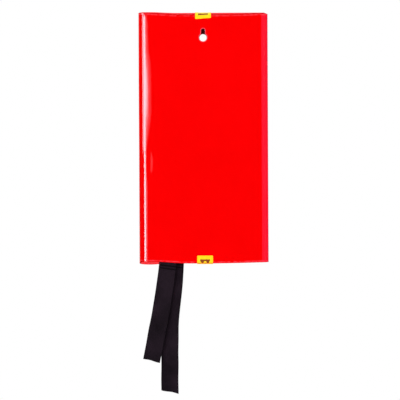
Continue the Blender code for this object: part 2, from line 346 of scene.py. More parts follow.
def make_webbing():
    webbing = Finish("tape_webbing")
    across, along, _ = webbing.parts(webbing.cut())
    across_ribs = across * RIBS
    rib = abs((across_ribs * math.pi).sine())
    side = (across_ribs * 0.5).within_one() > 0.5
    pick = abs(((along * PICKS_PER_WIDTH + side * 0.5) * math.pi).sine())
    selvedge = abs(across - 0.5).ramp(SELVEDGE_FROM, SELVEDGE_TO)
    fluff = webbing.noise(webbing.place(), 1400.0, 3.0, 0.6)
    # Slow patches painted partly as wear and partly as light and shade on the tape's bends.
    wear_and_shade = webbing.noise(webbing.place(), 32.0, 2.0, 0.5)
    # The two pressed folds: a dip in the bump, and colour darkened along them as painted shade.
    shaded_folds = joined([1 - abs(along - place).ramp(FOLD_HALF, FOLD_EDGE) for place in SHADED_FOLDS])
    height = (rib**0.6) * (0.65 + pick * 0.35) * (1 - selvedge * 0.25) + fluff * 0.25 - shaded_folds * 0.6
    light = height.ramp(0.25, 1.15) * 0.5 + wear_and_shade.ramp(0.36, 0.64) * 0.5
    light = light * (1 - shaded_folds * 0.8)
    return webbing.surface(
        Base_Color=webbing.mix(light, colour(0.0012, 0.0006, 0.0014), colour(0.0165, 0.009, 0.0152)),
        Roughness=0.78 + fluff * 0.18,
        Normal=webbing.bump(height, 0.16 * MM),
        Sheen_Weight=0.03,
        Sheen_Roughness=0.5,
        Specular_IOR_Level=0.1,
    )


webbing = make_webbing()
print("webbing has", len(webbing.node_tree.nodes), "nodes")

# %% [markdown]
# ## The pull tapes
# Each tape is one strip: its top is sewn to the blanket inside the sleeve, and the rest hangs from the
# mouth under its own weight. It is modelled as a flat grid that is laid along a route, given its real
# thickness and softened along both edges. A cloth simulation would erase so narrow and stiff a strip.
# The long tape lies nearer the front of the sleeve, so the short one partly covers it from behind.


# %% Lay both tapes along their routes
TAPE_THICKNESS = 1 * MM
TAPE_EDGE = 0.36 * MM
SEWN_TOP = 24.8 * MM
TAPE_COLUMNS = 12
TAPE_ROW = 0.7 * MM
CREASE = 0.9 * MM
SLOW_WAVE, SLOW_WAVE_TURN = 0.22 * MM, 7.5 * MM
EDGE_WAVE, EDGE_WAVE_TURN = 0.12 * MM, 5.3 * MM
END_WAVE = 0.35 * MM
CUP = 0.25 * MM


def millimetres(rows):
    return [Vector(row) * MM for row in rows]


SHORT_ROUTE = millimetres(
    [(4.1, -0.3, -31.4), (8.7, -0.9, -59.4), (14.2, -0.7, -87.4), (19.4, -0.1, -115.4)]
)
LONG_ROUTE = millimetres(
    [(1.9, -0.4, -31), (6.0, -0.9, -68), (6.8, -0.7, -98), (7.1, -0.1, -153.5)]
)


def tape_line(hinge, route):
    """The route of a whole tape, from its sewn top down to its free end."""
    sewn_top = hinge + Vector((0, 0, SEWN_TOP))
    return Line(smooth_points([sewn_top, hinge] + [hinge + step for step in route], 60))


def ripple(along, creases):
    """How far the strip stands off its route: creases near the mouth, then slow waves."""
    height = 0.0
    for place, size in creases:
        height += size * math.exp(-(((along - SEWN_TOP - place) / CREASE) ** 2))
    slow = fade(along, SEWN_TOP + 12 * MM, SEWN_TOP + 40 * MM)
    return height + slow * SLOW_WAVE * math.sin(along / SLOW_WAVE_TURN)


def make_tape(name, line, end_slant, creases, seed):
    rows = round(line.length / TAPE_ROW)
    bm, _ = strip_grid(TAPE_COLUMNS, rows, line.length / TAPE_WIDTH)
    for vert in bm.verts:
        across, share = vert.co.x, vert.co.y
        wave = END_WAVE * math.sin(across * 7.0 + seed)
        along = share * (line.length + end_slant * (0.5 - across) + wave * share**8)
        centre, run = line.at(along)
        sideways = run.cross(BACKWARDS).normalized()
        outwards = sideways.cross(run)
        cup = CUP * (2 * across - 1) ** 2 * fade(along, SEWN_TOP, SEWN_TOP + 30 * MM)
        edge = EDGE_WAVE * math.sin(along / EDGE_WAVE_TURN + seed) * fade(along, SEWN_TOP, line.length)
        lift = ripple(along, creases) - cup
        vert.co = centre + sideways * ((across - 0.5) * TAPE_WIDTH + edge) - outwards * lift
    recalculate(bm)
    bmesh.ops.solidify(bm, geom=bm.faces[:], thickness=TAPE_THICKNESS)
    top_row = [vert.co for vert in bm.verts if vert.co.z > line.points[0].z - TAPE_ROW / 2]
    off_centre = sum(place.y for place in top_row) / len(top_row) - line.points[0].y
    move(bm, (0, -off_centre, 0))
    recalculate(bm)
    soften(bm, sharp_edges(bm), TAPE_EDGE, 3, clamp=True)
    return keep(name, bm, webbing, smooth_degrees=50)


short_hinge = hinges["short_tape_swing"]
long_hinge = hinges["long_tape_swing"]
short_line = tape_line(short_hinge, SHORT_ROUTE)
long_line = tape_line(long_hinge, LONG_ROUTE)
short_creases = [(5.4 * MM, -0.6 * MM), (8.6 * MM, -0.5 * MM), (10.2 * MM, 0.3 * MM)]
long_creases = [(7.5 * MM, -0.2 * MM)]
short_tape = make_tape("short_tape_strip", short_line, 1.2 * MM, short_creases, 0.4)
long_tape = make_tape("long_tape_strip", long_line, 4.0 * MM, long_creases, 2.1)
print("short tape length:", round(short_line.length, 4), "long:", round(long_line.length, 4))

# %% [markdown]
# ## The stitching
# A tape that must carry a pull is sewn on with a box and a cross of lockstitches. Each visible stitch is a
# short rounded loop of thread that sinks into the webbing at both ends. A few dozen small spheres,
# stretched along their seam, show that better than a printed line.


# %% Sew both tapes with a box and a cross
STITCH_LENGTH = 2.3 * MM
STITCH_PITCH = 2.75 * MM
THREAD_RADIUS = 0.36 * MM
THREAD_SINKS = 0.08 * MM
THREAD_TWIST = 0.55 * MM
BOX_HALF_WIDTH = 7 * MM
BOX_LOW, BOX_HIGH = 3.8 * MM, 21.8 * MM


def make_thread():
    thread = Finish("tape_thread")
    x, _, z = thread.parts(thread.place())
    twist = abs(((x + z) * (math.pi / THREAD_TWIST)).sine())
    fuzz = thread.noise(thread.place(), 2600.0, 2.0)
    return thread.surface(
        Base_Color=thread.mix(twist, colour(0.02, 0.02, 0.024), colour(0.075, 0.072, 0.08)),
        Roughness=0.5 + fuzz * 0.25,
        Normal=thread.bump(twist + fuzz * 0.3, 0.05 * MM),
        Sheen_Weight=0.1,
    )


def make_stitching(name, hinge):
    bm = bmesh.new()
    left, right = -BOX_HALF_WIDTH, BOX_HALF_WIDTH
    box = [(left, BOX_LOW), (right, BOX_LOW), (right, BOX_HIGH), (left, BOX_HIGH)]
    corners = [Vector((x, 0, z)) for x, z in box]
    for first, last in ((0, 1), (1, 2), (2, 3), (3, 0), (0, 2), (1, 3)):
        start, run = corners[first], corners[last] - corners[first]
        count = round(run.length / STITCH_PITCH)
        lean = math.atan2(run.z, run.x)
        for index in range(count):
            middle = hinge + start + run * ((index + 0.5) / count)
            for side in (1, -1):
                made = bmesh.ops.create_icosphere(bm, subdivisions=2, radius=1.0)["verts"]
                stitch = (STITCH_LENGTH / 2, THREAD_RADIUS, THREAD_RADIUS)
                bmesh.ops.scale(bm, vec=stitch, verts=made)
                turn = Quaternion((0, 1, 0), -lean).to_matrix()
                bmesh.ops.rotate(bm, cent=(0, 0, 0), matrix=turn, verts=made)
                lift = Vector((0, side * (TAPE_THICKNESS / 2 - THREAD_SINKS), 0))
                bmesh.ops.translate(bm, vec=middle + lift, verts=made)
    return keep(name, bm, thread, smooth_degrees=180)


thread = make_thread()
short_stitches = make_stitching("short_tape_stitches", short_hinge)
long_stitches = make_stitching("long_tape_stitches", long_hinge)

# %% [markdown]
# ## Where the tapes go
# The tapes stay where they were laid, in place of the measured pull tapes and sewn ends, which are
# hidden. Their stitches move with the blanket.


def hang_tape(side, tape, stitches):
    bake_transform(tape)
    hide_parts(f"{side}_pull_tape", f"{side}_tape_sewn_end")
    stand_for(stitches, "blanket", f"{side}_tape_stitching")


hang_tape("short", short_tape, short_stitches)
hang_tape("long", long_tape, long_stitches)

# %% [markdown]
# ## Glossy red vinyl
# The sleeve is welded from plasticised vinyl sheet. Its red is so deep that almost no green or blue comes
# back, and what lightens it is gloss alone. Up close it has a faint orange peel, slow waves from the
# welding and hairline scratches that catch the light. Along each rim of the back wall a dark line is
# painted as shade, and a paler broken line beside it is a painted highlight. A pale ring painted round
# the keyhole is a painted highlight too. The inside is matt and is painted darker deep in as shade, and a
# glow painted near the mouths stands for the light there.


# %% Where the sleeve's rims and holes are
sleeve_low, sleeve_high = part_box("case_sleeve")
CASE_WALL = 1.5 * MM
CORNER_RADIUS = 11 * MM
HOLE_RADIUS = 4.5 * MM
FRONT_HOLE_RADIUS = 4.2 * MM
SLOT_RADIUS = 2.25 * MM
SLOT_RISE = 8 * MM
width = sleeve_high.x - sleeve_low.x
depth = sleeve_high.y - sleeve_low.y
height = sleeve_high.z - sleeve_low.z
half_width = width / 2
case_top, case_bottom = sleeve_high.z, sleeve_low.z
print("sleeve", round(width, 4), round(depth, 4), round(height, 4))
FLAT_HALF = half_width - CORNER_RADIUS
TOP_SAG, TOP_MIDDLE_SAG = 0.9 * MM, 1.2 * MM
TOP_RISE, TOP_RISE_FROM, TOP_RISE_TO = 1.1 * MM, 30 * MM, 62 * MM
LOW_SAG, LOW_MIDDLE_SAG = 0.25 * MM, 0.95 * MM
LOW_RISE, LOW_RISE_FROM, LOW_RISE_TO = 1.35 * MM, 22 * MM, 50 * MM


# %% The vinyl finish
def make_vinyl():
    vinyl = Finish("sleeve_vinyl")
    place = vinyl.place()
    x, y, z = vinyl.parts(place)
    middle = (1 - (abs(x) / FLAT_HALF) ** 2.0).at_least(0.0)
    back = y.ramp(-9 * MM, -6 * MM)
    top_rise = x.ramp(TOP_RISE_FROM, TOP_RISE_TO) * TOP_RISE
    low_rise = x.ramp(LOW_RISE_FROM, LOW_RISE_TO) * LOW_RISE
    from_top = top_rise - middle * TOP_MIDDLE_SAG + (case_top - TOP_SAG) - z
    from_low = z - (low_rise - middle * LOW_MIDDLE_SAG + (case_bottom - LOW_SAG))
    from_mouth = from_top.at_most(from_low + 0.5 * MM)
    # A dark line painted along each back rim as shade.
    rim_painted_shade = (1 - from_mouth.ramp(0.3 * MM, 1.3 * MM)) * back
    # Beside it, a paler broken line painted as a highlight.
    rim_breaks = vinyl.noise(place, 260.0, 2.0).ramp(0.35, 0.6)
    rim_painted_highlight = (1 - abs(from_mouth - 2.0 * MM).ramp(0.3 * MM, 1.0 * MM)) * back * rim_breaks
    # A pale ring painted round the keyhole as a highlight.
    slot_fall = z - z.at_least(-SLOT_RISE).at_most(0.0)
    slot_distance = reach(x, slot_fall) - SLOT_RADIUS
    hole_distance = reach(x, z + SLOT_RISE) - HOLE_RADIUS
    from_hole = slot_distance.at_most(hole_distance)
    hole_painted_highlight = (1 - from_hole.ramp(0.35 * MM, 1.1 * MM)) * back
    cloud = vinyl.noise(place, 16.0, 3.0, 0.55)
    peel = vinyl.noise(place, 620.0, 2.0, 0.5)
    wave = vinyl.noise(vinyl.stretched(place, (1.0, 1.0, 0.35)), 42.0, 1.0)
    upright = vinyl.noise(vinyl.stretched(place, (1.0, 1.0, 0.012)), 1500.0, 2.0, 0.7)
    slanted = vinyl.stretched(place, (1.0, 1.0, 0.02), (0.0, 0.9, 0.0))
    crossing = vinyl.noise(slanted, 1100.0, 2.0, 0.7)
    patches = vinyl.noise(place, 28.0, 2.0).ramp(0.45, 0.62)
    scratches = (upright.ramp(0.70, 0.78) + crossing.ramp(0.70, 0.78)).at_most(1.0) * patches
    height = peel * 0.12 + wave - scratches * 0.08
    red = vinyl.mix(cloud.ramp(0.3, 0.7), colour(0.845, 0.0, 0.0002), colour(0.885, 0.0, 0.0006))
    shaded = vinyl.mix(rim_painted_shade * 0.75, red, colour(0.36, 0.0, 0.004))
    paled = vinyl.mix(rim_painted_highlight * 0.8, shaded, colour(0.95, 0.055, 0.075))
    rimmed = vinyl.mix(hole_painted_highlight * 0.8, paled, colour(0.95, 0.10, 0.15))
    return vinyl.surface(
        Base_Color=vinyl.mix(scratches * 0.25, rimmed, colour(0.9, 0.02, 0.03)),
        Roughness=0.06 + cloud * 0.025 + scratches * 0.1,
        Normal=vinyl.bump(height, 0.035 * MM),
        IOR=1.5,
        Specular_IOR_Level=0.5,
    )


def make_inside_vinyl():
    """The same sheet inside: matt, painted dark deep in as shade, and painted with a glow at the mouths.
    """
    inside = Finish("sleeve_vinyl_inside")
    _, _, z = inside.parts(inside.place())
    grain = inside.noise(inside.place(), 1300.0, 3.0, 0.6)
    # Deep inside, away from the mouths, the colour is painted dark as shade.
    deep = (case_top - z).at_most(z - case_bottom).ramp(1 * MM, 9 * MM)
    near = inside.mix(grain, colour(0.78, 0.012, 0.018), colour(0.86, 0.03, 0.035))
    return inside.surface(
        Base_Color=inside.mix(deep, near, colour(0.15, 0.0, 0.0004)),
        Roughness=0.5 + grain * 0.2,
        Normal=inside.bump(grain, 0.05 * MM),
        Specular_IOR_Level=0.3,
        # The emission near the mouths is a painted glow that stands for the light there.
        Emission_Color=inside.mix(deep, colour(1.0, 0.05, 0.06), colour(0.0, 0.0, 0.0)),
        Emission_Strength=0.45,
    )


vinyl = make_vinyl()
inside_vinyl = make_inside_vinyl()
print("vinyl has", len(vinyl.node_tree.nodes), "nodes")

# %% [markdown]
# ## The sleeve
# The sleeve is a flattened tube, open at both ends. A box with its four long edges rounded gives the
# outside, and its two end faces are taken away. Cuts across it give rows and columns that can be moved:
# the rims sag in the middle, one corner hangs a little lower, and the back dips near one side, with a
# shallow dent in its lower half, as a soft sleeve does over its folded cloth. Only then does the wall get
# its 1.5 mm, and the rims are rounded last.


# %% Shape the sleeve
CORNER_STEPS = 14
RIM_ROUNDING = 0.5 * MM
WORN_FROM = 71 * MM
PLUS_X_WEAR, MINUS_X_WEAR = 0.5 * MM, 1.3 * MM
FRONT_LIFT, FRONT_FALL = 0.4 * MM, 3.2 * MM
CUTS_ACROSS = (-56, -45, -34, -24, -14, 14, 24, 34, 45, 52, 54, 55.5, 57, 58.5, 60, 61, 62, 63)
UPPER_CUTS = (16, 9, -22, -36, -50, -62, -74, -86, -98, -110, -122, -131, -138)
LOWER_CUTS = (-144, -150, -156, -162, -168, -175, -190, -215, -245, -262)


def slice_at(bm, point, normal):
    everything = bm.verts[:] + bm.edges[:] + bm.faces[:]
    bmesh.ops.bisect_plane(bm, geom=everything, plane_co=point, plane_no=normal, dist=1e-6)


def rim_shape(x, backness, upper):
    """How far a rim point is moved up from the plain end of the tube."""
    middle = max(0.0, 1 - (x / FLAT_HALF) ** 2)
    if upper:
        back_rim = -TOP_SAG - TOP_MIDDLE_SAG * middle
        rise = TOP_RISE * fade(x, TOP_RISE_FROM, TOP_RISE_TO)
        worn = PLUS_X_WEAR * fade(x, WORN_FROM, half_width)
        worn += MINUS_X_WEAR * fade(-x, WORN_FROM, half_width)
        return backness * back_rim + rise - worn
    back_rim = LOW_RISE * fade(x, LOW_RISE_FROM, LOW_RISE_TO) - LOW_SAG - LOW_MIDDLE_SAG * middle
    front_rim = FRONT_LIFT - FRONT_FALL * fade(x, 25 * MM, 62 * MM)
    return backness * back_rim + (1 - backness) * front_rim


def window(z, low, high, edge):
    """1 between two heights, with soft edges, and 0 elsewhere."""
    return fade(z, low - edge, low) * (1 - fade(z, high, high + edge))


def dip(from_side, start, stop, deepest):
    """A slope that starts this far from the side and gets steeper until it stops."""
    share = max(0.0, start - max(from_side, stop)) / (start - stop)
    return deepest * share**2


def pressed_in(x, z):
    """How deep the back wall dips near its +X side, which spreads the reflection there."""
    from_side = half_width - x
    wide = fade(z, -140 * MM, -90 * MM) * (1 - fade(z, -60 * MM, 25 * MM))
    dent = dip(from_side, 21 * MM, 13 * MM, 0.72 * MM) * fade(from_side, 8.5 * MM, 12.5 * MM)
    dented = dent * window(z, -162 * MM, -144 * MM, 13 * MM)
    return dip(from_side, 18 * MM, 9 * MM, 1.3 * MM) * wide + dented


def shape_sleeve():
    bm = bmesh.new()
    bmesh.ops.create_cube(bm, size=1.0)
    bmesh.ops.scale(bm, vec=(width, depth, height), verts=bm.verts)
    move(bm, (sleeve_low + sleeve_high) / 2)
    upright = [e for e in bm.edges if abs(e.verts[0].co.z - e.verts[1].co.z) > height / 2]
    soften(bm, upright, CORNER_RADIUS, CORNER_STEPS)
    ends = [face for face in bm.faces if abs(face.normal.z) > 0.9]
    bmesh.ops.delete(bm, geom=ends, context="FACES_ONLY")
    for x in CUTS_ACROSS:
        slice_at(bm, (x * MM, 0, 0), (1, 0, 0))
    for z in (*UPPER_CUTS, *LOWER_CUTS):
        slice_at(bm, (0, 0, z * MM), (0, 0, 1))
    for vert in bm.verts:
        backness = (vert.co.y - sleeve_low.y) / depth
        upper_share = fade(vert.co.z, case_top - 12 * MM, case_top)
        lower_share = 1 - fade(vert.co.z, case_bottom, case_bottom + 24 * MM)
        lift = rim_shape(vert.co.x, backness, True) * upper_share
        lift += rim_shape(vert.co.x, backness, False) * lower_share
        if vert.co.y > -CORNER_RADIUS - 1 * MM:
            backwall = fade(vert.co.y, -CORNER_RADIUS, -5 * MM)
            vert.co.y -= pressed_in(vert.co.x, vert.co.z) * backwall
        vert.co.z += lift
    recalculate(bm)
    bmesh.ops.solidify(bm, geom=bm.faces[:], thickness=CASE_WALL)
    recalculate(bm)
    soften(bm, sharp_edges(bm), RIM_ROUNDING, 3)
    return bm


sleeve = keep("red_sleeve", shape_sleeve(), vinyl)

# %% [markdown]
# ## The keyhole
# A punch cuts the hanging hole: a round hole that lets the screw head in, and a narrow slot above it that
# the screw slides into. Only the round hole goes on through the front wall. Each cutter is a short rod.
# The slot's is the same rod with its lower half pulled down. Their rims are softened afterwards, because
# a punched edge always shows a thin line of light.

# %% Punch the keyhole
CUT_DEPTH = 8 * MM
HOLE_ROUNDING = 0.28 * MM
QUARTER_TURN = Quaternion((1, 0, 0), math.radians(90)).to_matrix()


def punch(target, radius, middle, pulled_down=0.0):
    """Cuts a rod's shape through a wall, with its lower half pulled down for a slot."""
    bm = bmesh.new()
    bmesh.ops.create_cone(
        bm, cap_ends=True, segments=48, radius1=radius, radius2=radius, depth=CUT_DEPTH
    )
    bmesh.ops.rotate(bm, cent=(0, 0, 0), matrix=QUARTER_TURN, verts=bm.verts)
    for vert in bm.verts:
        if vert.co.z < 0:
            vert.co.z -= pulled_down
    move(bm, middle)
    cutter = keep("cutter", bm, vinyl)
    cut = target.modifiers.new("cut", "BOOLEAN")
    cut.object = cutter
    cut.operation = "DIFFERENCE"
    cut.solver = "EXACT"
    result = target.evaluated_get(bpy.context.evaluated_depsgraph_get())
    mesh = bpy.data.meshes.new_from_object(result)
    target.modifiers.clear()
    target.data = mesh
    bpy.data.objects.remove(cutter)


punch(sleeve, HOLE_RADIUS, (0, 0, -SLOT_RISE))
punch(sleeve, SLOT_RADIUS, (0, 0, 0), pulled_down=SLOT_RISE)
punch(sleeve, FRONT_HOLE_RADIUS, (0, sleeve_low.y, -SLOT_RISE))

bm = bmesh.new()
bm.from_mesh(sleeve.data)
bmesh.ops.remove_doubles(bm, verts=bm.verts[:], dist=1e-6)


def on_a_hole_rim(edge):
    """Near the keyhole, and level with the wall instead of running through it."""
    start, end = edge.verts[0].co, edge.verts[1].co
    middle = (start + end) / 2
    near = abs(middle.x) < HOLE_RADIUS + 1 * MM and abs(middle.z + SLOT_RISE / 2) < 12 * MM
    return near and abs(start.y - end.y) < 0.1 * MM


hole_rims = [edge for edge in sharp_edges(bm) if on_a_hole_rim(edge)]
soften(bm, hole_rims, HOLE_ROUNDING, 2)
bm.to_mesh(sleeve.data)
open_edges = sum(1 for edge in bm.edges if not edge.is_manifold)
bm.free()
sleeve.data.shade_smooth()
sleeve.data.set_sharp_from_angle(angle=math.radians(35))
print("sleeve faces:", len(sleeve.data.polygons), "open edges:", open_edges)

flatter = sleeve.modifiers.new("flat panels stay flat", "WEIGHTED_NORMAL")
flatter.weight = 100
flatter.keep_sharp = True

# %% Give the inner faces their own finish
FACES_IN = -0.3
RIM_TILT = 0.3
sleeve.data.materials.append(inside_vinyl)
middle_y = (sleeve_low.y + sleeve_high.y) / 2
for face in sleeve.data.polygons:
    middle_x = max(-half_width + depth / 2, min(half_width - depth / 2, face.center.x))
    outwards = face.center - Vector((middle_x, middle_y, face.center.z))
    if face.normal.dot(outwards.normalized()) < FACES_IN and abs(face.normal.z) < RIM_TILT:
        face.material_index = 1
inner_faces = sum(face.material_index for face in sleeve.data.polygons)
print("inner faces:", inner_faces)
stand_for(sleeve, "case", "case_sleeve")

# %% [markdown]
# ## Yellow seal labels
# One small paper label closes each mouth, so that a used blanket shows at a glance. The print is only a
# bar and two arrowheads, which stand for the usual warning. A label is a strip that runs down the back
# wall, over the mouth in a soft fold and down the front wall.


# %% The seal paper finish
SEAL_WIDTH = 18.4 * MM


def wedge(across, along, centre, low, high, half_width):
    """1 inside an arrowhead that points along the strip, from low to its tip at high."""
    share = along.ramp(low, high)
    inside = abs(across - centre) < (1 - share) * half_width
    return inside * (along > low) * (along < high)


def make_seal_paper(name, print_places):
    paper = Finish(name)
    across, along, _ = paper.parts(paper.cut())
    fibres = paper.noise(paper.place(), 900.0, 4.0, 0.6)
    stains = paper.noise(paper.place(), 70.0, 2.0)
    marks = []
    for start, turned, bar in print_places:
        low, high = sorted((start, start + bar * turned))
        marks.append((along > low) * (along < high) * (abs(across - 0.5) < 0.31))
        tip = start - 0.2 * turned
        for centre in (0.33, 0.67):
            low, high = -start * turned, -tip * turned
            marks.append(wedge(across, along * -turned, centre, low, high, 0.12))
    ink = joined(marks) * (0.88 + fibres * 0.12)
    edge = abs(across - 0.5).ramp(0.475, 0.5)
    yellow = paper.mix(stains, colour(0.95, 0.64, 0.004), colour(0.97, 0.72, 0.007))
    worn = paper.mix(edge * 0.5, yellow, colour(0.9, 0.42, 0.02))
    return paper.surface(
        Base_Color=paper.mix(ink, worn, colour(0.20, 0.018, 0.004)),
        Roughness=0.52 + fibres * 0.16 + ink * 0.1,
        Specular_IOR_Level=0.2,
        Normal=paper.bump(fibres, 0.02 * MM),
    )


# %% Fold the labels over the two mouths
SEAL_PAPER = 0.12 * MM
SEAL_STAND_OFF = 0.03 * MM
SEAL_CORNER = 0.8 * MM
SEAL_COLUMNS = 10
SEAL_ROW = 0.4 * MM
FRONT_LEG = 22 * MM


def strip_outline(along, length, corner):
    """How much narrower a rounded strip is near its two ends."""
    from_end = min(along, length - along)
    if from_end >= corner:
        return 0.0
    gap = corner - from_end
    return corner - math.sqrt(max(0.0, corner * corner - gap * gap))


def make_seal(name, finish, centre_x, lean, points):
    line = Line(points)
    rows = round(line.length / SEAL_ROW)
    bm, _ = strip_grid(SEAL_COLUMNS, rows, line.length / SEAL_WIDTH)
    for vert in bm.verts:
        across, along = vert.co.x - 0.5, vert.co.y * line.length
        narrower = strip_outline(along, line.length, SEAL_CORNER)
        centre, run = line.at(along)
        x = centre_x + across * (SEAL_WIDTH - 2 * narrower)
        turned = lean * across * SEAL_WIDTH
        vert.co = Vector((x, centre.y, centre.z)) + run * turned
    recalculate(bm)
    outwards = 0.0
    for face in bm.faces:
        outwards += face.normal.y * (1 if face.calc_center_median().y > middle_y else -1)
    if outwards < 0:
        bmesh.ops.reverse_faces(bm, faces=bm.faces[:])
    bmesh.ops.solidify(bm, geom=bm.faces[:], thickness=SEAL_PAPER)
    recalculate(bm)
    label = keep(name, bm, finish, smooth_degrees=50)
    print(name, "is", round(line.length * 1000, 1), "mm long")
    return label


def leg_and_fold(y, inwards, rim_z, leg, up, lift):
    """One leg on its wall, and the fold from there towards the mouth."""
    return [
        (y, rim_z - leg * up),
        (y, rim_z - leg * up / 2),
        (y, rim_z - 0.9 * MM * up),
        (y + 0.35 * MM * inwards, rim_z - 0.1 * MM * up + lift),
        (y + 1.4 * MM * inwards, rim_z + lift + 0.12 * MM * up),
    ]


def over_the_mouth(back_z, front_z, back_leg, up, slack):
    """The side view of a label, from the end of its back leg to the end of its front leg."""
    off_wall = SEAL_STAND_OFF + SEAL_PAPER
    lift = off_wall * up
    route = leg_and_fold(off_wall, -1, back_z, back_leg, up, lift)
    for y, share, hang in ((-7, 0.25, 0.75), (-13, 0.5, 1.0), (-19, 0.75, 0.75)):
        z = back_z + (front_z - back_z) * share + lift + slack * hang * up
        route.append((y * MM, z))
    route += reversed(leg_and_fold(sleeve_low.y - off_wall, 1, front_z, FRONT_LEG, up, lift))
    corners = [Vector((0, y, z)) for y, z in route]
    return smooth_points(corners, 12 * len(corners))


top_back_z = case_top - 2.1 * MM
bottom_back_z = case_bottom - 0.6 * MM
top_points = over_the_mouth(top_back_z, case_top, 4.9 * MM, 1, 0.1 * MM)
bottom_points = over_the_mouth(bottom_back_z, case_bottom + 0.4 * MM, 8.6 * MM, -1, 1.9 * MM)
top_paper = make_seal_paper("seal_paper_top", [(0.80, -1, 0.58), (2.35, 1, 0.075)])
bottom_paper = make_seal_paper("seal_paper_bottom", [(0.35, -1, 0.11), (2.5, 1, 0.11)])
top_seal = make_seal("top_seal", top_paper, -0.1 * MM, -0.06, top_points)
bottom_seal = make_seal("bottom_seal", bottom_paper, -1.2 * MM, 0.0, bottom_points)
stand_for(top_seal, "case", "top_seal_label")
stand_for(bottom_seal, "blanket", "bottom_seal_label")

# %% [markdown]
# ## The front label
# The public face carries a printed sheet that shows how the blanket is used. Here it is drawn with
# shapes alone: a flame on a red band, then three framed pictures of pulling the tapes, covering a pan and
# waiting. Each shape is a distance worked out from the surface's own place, so it stays sharp at any size.

# %% Draw and lay the front label
label_low, label_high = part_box("front_instruction_label")
LABEL_CORNER = 6 * MM
LABEL_PAPER = 0.14 * MM
LABEL_STAND_OFF = 0.03 * MM
FRAME_HALF = 0.7


def make_label_paper():
    paper = Finish("label_paper")
    x, _, z = paper.parts(paper.place())
    x = x * (1 / MM)
    z = z * (1 / MM)
    fibres = paper.noise(paper.place(), 800.0, 4.0, 0.6)

    def box_distance(centre_x, centre_z, half_x, half_z, corner=0.0):
        """Below 0 inside a box, in millimetres."""
        side = abs(x - centre_x) - (half_x - corner)
        top = abs(z - centre_z) - (half_z - corner)
        if not corner:
            return side.at_least(top)
        outside = reach(side.at_least(0.0), top.at_least(0.0))
        return side.at_least(top).at_most(0.0) + outside - corner

    def disc_distance(centre_x, centre_z, radius):
        return reach(x - centre_x, z - centre_z) - radius

    def arrow_down(centre_x, tip_z, size):
        """An arrow that points down, made of a head and a shaft."""
        rise = z - tip_z
        head = (abs(x - centre_x) < rise * 0.75) * (rise < size)
        shaft = box_distance(centre_x, tip_z + size * 1.6, size * 0.28, size * 0.65) < 0
        return joined([head, shaft])

    band = z > -75
    flame_round = disc_distance(0, -61, 9) < 0
    flame_tip = (abs(x + (z + 61) * 0.08) < (-43.5 - z) * 0.48) * (z > -61)
    flame_core = disc_distance(0, -63.5, 4) < 0
    flame_inner = joined([flame_core, (abs(x) < (-53.0 - z) * 0.38) * (z > -63.5)])
    flame = joined([flame_round, flame_tip]) * (1 - flame_inner)
    pictures = [box_distance(0, centre_z, 46, 21, 5) for centre_z in (-102, -151, -200)]
    frames = joined([abs(distance) < FRAME_HALF for distance in pictures])
    fields = joined([distance < -FRAME_HALF for distance in pictures])
    case_shape = box_distance(-16, -94, 11, 9, 2) < 0
    left_tape = box_distance(-20.5, -108, 2.2, 7) < 0
    right_tape = box_distance(-12.5, -110, 2.2, 9) < 0
    pull = arrow_down(17, -115, 9)
    pan = box_distance(-2, -163, 16, 5, 2) < 0
    handle = box_distance(22, -160.5, 10, 1.4, 1) < 0
    dome = (disc_distance(-2, -157, 19) < 0) * (z > -157)
    hollow = (disc_distance(-2, -157, 17.3) < 0) * (z > -155.5)
    hem = box_distance(-2, -156.2, 21, 0.9, 0.8) < 0
    dial = abs(disc_distance(0, -200, 13)) < 1.1
    minute_hand = box_distance(0, -195.5, 0.9, 5.5, 0.5) < 0
    hour_hand = box_distance(4, -200, 5, 0.9, 0.5) < 0
    hub = disc_distance(0, -200, 1.8) < 0
    red_print = joined([band * (1 - flame), frames, case_shape, pull])
    dark_print = joined([left_tape, right_tape, pan, handle, dial, minute_hand, hour_hand, hub])
    grey_print = joined([dome * (1 - hollow), hem])
    white = paper.mix(fibres, colour(0.80, 0.80, 0.78), colour(0.86, 0.86, 0.84))
    tinted = paper.mix(fields * 0.55, white, colour(0.83, 0.82, 0.76))
    greyed = paper.mix(grey_print, tinted, colour(0.36, 0.37, 0.38))
    reddened = paper.mix(red_print, greyed, colour(0.72, 0.006, 0.004))
    printed = joined([red_print, dark_print, grey_print])
    upright = paper.stretched(paper.place(), (1.0, 1.0, 0.3))
    scuffs = paper.noise(upright, 900.0, 2.0).ramp(0.68, 0.85)
    inked = paper.mix(dark_print, reddened, colour(0.018, 0.018, 0.02))
    return paper.surface(
        Base_Color=paper.mix(scuffs * 0.12, inked, colour(0.8, 0.8, 0.78)),
        Roughness=0.33 + fibres * 0.12 + scuffs * 0.15 - printed * 0.05,
        Normal=paper.bump(fibres * 0.5 + printed * 0.3, 0.02 * MM),
    )


label_paper = make_label_paper()
print("label paper has", len(label_paper.node_tree.nodes), "nodes")


